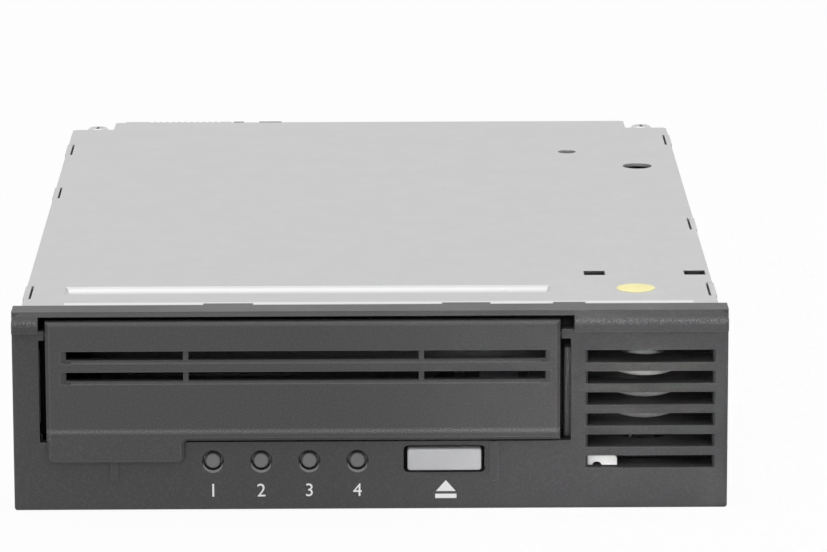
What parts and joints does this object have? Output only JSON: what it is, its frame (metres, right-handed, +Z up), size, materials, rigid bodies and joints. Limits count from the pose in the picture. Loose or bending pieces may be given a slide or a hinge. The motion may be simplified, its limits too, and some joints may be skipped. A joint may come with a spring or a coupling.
{
  "type": "data tape drive",
  "caption": "Internal half-height tape drive: black bezel with hinged cartridge door, eject button, lamps and louvred intake, steel case, loader, reel, tape path and head.",
  "frame": {"origin": "centre of the drive's footprint at its underside", "axes": "+X to the right seen from the front, +Y from the bezel to the rear connectors, +Z up"},
  "size_m": [0.1488, 0.2208, 0.0424],
  "materials": {
    "zinc_sheet": "zinc-coated sheet steel, satin",
    "bezel_black": "fine-textured moulded ABS",
    "door_black": "fine-textured moulded ABS",
    "button_grey": "smooth satin moulding",
    "clear_lens": "smoky clear acrylic",
    "white_nylon": "moulded nylon",
    "black_nylon": "moulded nylon",
    "yellow_paper": "coated paper",
    "bright_steel": "zinc-plated",
    "spring_steel": "drawn wire",
    "cast_aluminium": "die-cast, shot-blasted",
    "milled_aluminium": "milled",
    "black_rubber": "moulded rubber",
    "board_green": "solder-masked laminate",
    "chip_black": "moulded epoxy",
    "grey_ribbon": "flat cable jacket",
    "lamp_white": "chip light",
    "acetal_white": "moulded acetal",
    "reel_grey": "moulded polycarbonate",
    "brass": "machined",
    "head_ceramic": "polished ceramic",
    "contact_copper": "spring bronze"
  },
  "bodies": {
    "drive": {"base_chassis": "zinc_sheet", "top_cover": "zinc_sheet", "cover_screws": "bright_steel", "inspection_dot": "yellow_paper", "bezel": "bezel_black", "door_hinge_pins": "bright_steel", "door_spring": "spring_steel", "eject_switch": "black_nylon", "led_light_pipes": "clear_lens", "status_leds": "lamp_white", "front_board": "board_green", "front_board_screws": "bright_steel", "front_cable": "grey_ribbon", "fan_frame": "black_nylon", "fan_screws": "bright_steel", "fan_plug": "white_nylon", "deck_casting": "cast_aluminium", "deck_isolators": "black_rubber", "deck_screws": "bright_steel", "bay_frame_left": "bright_steel", "bay_frame_right": "bright_steel", "loader_gear_post": "bright_steel", "loader_motor": "bright_steel", "supply_motor": "bright_steel", "take_up_motor": "bright_steel", "roller_posts": "bright_steel", "arm_post": "bright_steel", "head_frame": "milled_aluminium", "head_guide_rods": "bright_steel", "head_stepper": "bright_steel", "main_board": "board_green", "board_screws": "bright_steel", "board_chips": "chip_black", "interface_connector": "black_nylon", "power_connector": "white_nylon", "jumper_block": "black_nylon", "rear_ground_clip": "contact_copper", "cartridge_sensor": "black_nylon"},
    "door": {"cartridge_door": "door_black"},
    "button": {"eject_button": "button_grey"},
    "fan_wheel": {"fan_rotor": "black_nylon"},
    "tray": {"cartridge_tray": "bright_steel"},
    "cam_slides": {"left_cam_slide": "bright_steel", "right_cam_slide": "bright_steel", "slide_link": "bright_steel"},
    "gear": {"loader_gear": "acetal_white"},
    "motor_pinion": {"loader_pinion": "brass"},
    "clutch": {"supply_clutch": "milled_aluminium"},
    "reel": {"take_up_reel": "reel_grey", "reel_upper_flange": "reel_grey"},
    "arm": {"threading_arm": "bright_steel", "leader_hook": "acetal_white"},
    "head": {"head_carriage": "milled_aluminium", "tape_head": "head_ceramic"},
    "lead_screw": {"head_lead_screw": "brass"},
    "roller_1": {"guide_roller_1": "milled_aluminium"},
    "roller_2": {"guide_roller_2": "milled_aluminium"},
    "roller_3": {"guide_roller_3": "milled_aluminium"},
    "roller_4": {"guide_roller_4": "milled_aluminium"}
  },
  "joints": [
    {"name": "door_hinge", "type": "hinge", "parent": "drive", "child": "door", "pos_m": [-0.01381, -0.1077, 0.0374], "axis": [-1, 0, 0], "range_deg": [0, 88], "stiffness_Nm_per_rad": 0.006, "springref_deg": -28.65},
    {"name": "button_press", "type": "slide", "parent": "drive", "child": "button", "axis": [0, 1, 0], "range_m": [0, 0.0007], "stiffness_N_per_m": 400, "springref_m": -0.0006},
    {"name": "fan_spin", "type": "hinge", "parent": "drive", "child": "fan_wheel", "pos_m": [0.0574, -0.0876, 0.0212], "axis": [0, 1, 0], "continuous": true},
    {"name": "cam_slide", "type": "slide", "parent": "drive", "child": "cam_slides", "axis": [0, 1, 0], "range_m": [0, 0.018]},
    {"name": "tray_lift", "type": "slide", "parent": "drive", "child": "tray", "axis": [0, 0, 1], "range_m": [-0.006, 0]},
    {"name": "gear_spin", "type": "hinge", "parent": "drive", "child": "gear", "pos_m": [0.05289, -0.0386, 0.028], "axis": [0, 0, 1], "range_deg": [-161.2, 0]},
    {"name": "pinion_spin", "type": "hinge", "parent": "drive", "child": "motor_pinion", "pos_m": [0.06138, -0.03011, 0.03], "axis": [0, 0, 1], "range_deg": [0, 483.5]},
    {"name": "clutch_spin", "type": "hinge", "parent": "drive", "child": "clutch", "pos_m": [-0.01381, -0.0526, 0.006], "axis": [0, 0, 1], "continuous": true},
    {"name": "reel_spin", "type": "hinge", "parent": "drive", "child": "reel", "pos_m": [-0.024, 0.0519, 0.019], "axis": [0, 0, 1], "continuous": true},
    {"name": "arm_swing", "type": "hinge", "parent": "drive", "child": "arm", "pos_m": [0.024, 0.05188, 0.0304], "axis": [0, 0, 1], "range_deg": [-104.51, 0]},
    {"name": "screw_spin", "type": "hinge", "parent": "drive", "child": "lead_screw", "pos_m": [0.066, 0.0294, 0.02], "axis": [0, 0, 1], "range_deg": [-1801, 1801]},
    {"name": "head_shift", "type": "slide", "parent": "drive", "child": "head", "axis": [0, 0, 1], "range_m": [-0.0025, 0.0025]},
    {"name": "roller_1_spin", "type": "hinge", "parent": "drive", "child": "roller_1", "pos_m": [0.048, 0.0074, 0.0196], "axis": [0, 0, 1], "continuous": true},
    {"name": "roller_2_spin", "type": "hinge", "parent": "drive", "child": "roller_2", "pos_m": [0.061, 0.0124, 0.0196], "axis": [0, 0, 1], "continuous": true},
    {"name": "roller_3_spin", "type": "hinge", "parent": "drive", "child": "roller_3", "pos_m": [0.061, 0.0464, 0.0196], "axis": [0, 0, 1], "continuous": true},
    {"name": "roller_4_spin", "type": "hinge", "parent": "drive", "child": "roller_4", "pos_m": [0.047, 0.0534, 0.0196], "axis": [0, 0, 1], "continuous": true}
  ],
  "couplings": [
    {"joint": "tray_lift", "follows": "cam_slide", "ratio": -0.33333},
    {"joint": "gear_spin", "follows": "cam_slide", "rad_per_m": -156.25},
    {"joint": "pinion_spin", "follows": "cam_slide", "rad_per_m": 468.75},
    {"joint": "screw_spin", "follows": "head_shift", "rad_per_m": 12566}
  ]
}
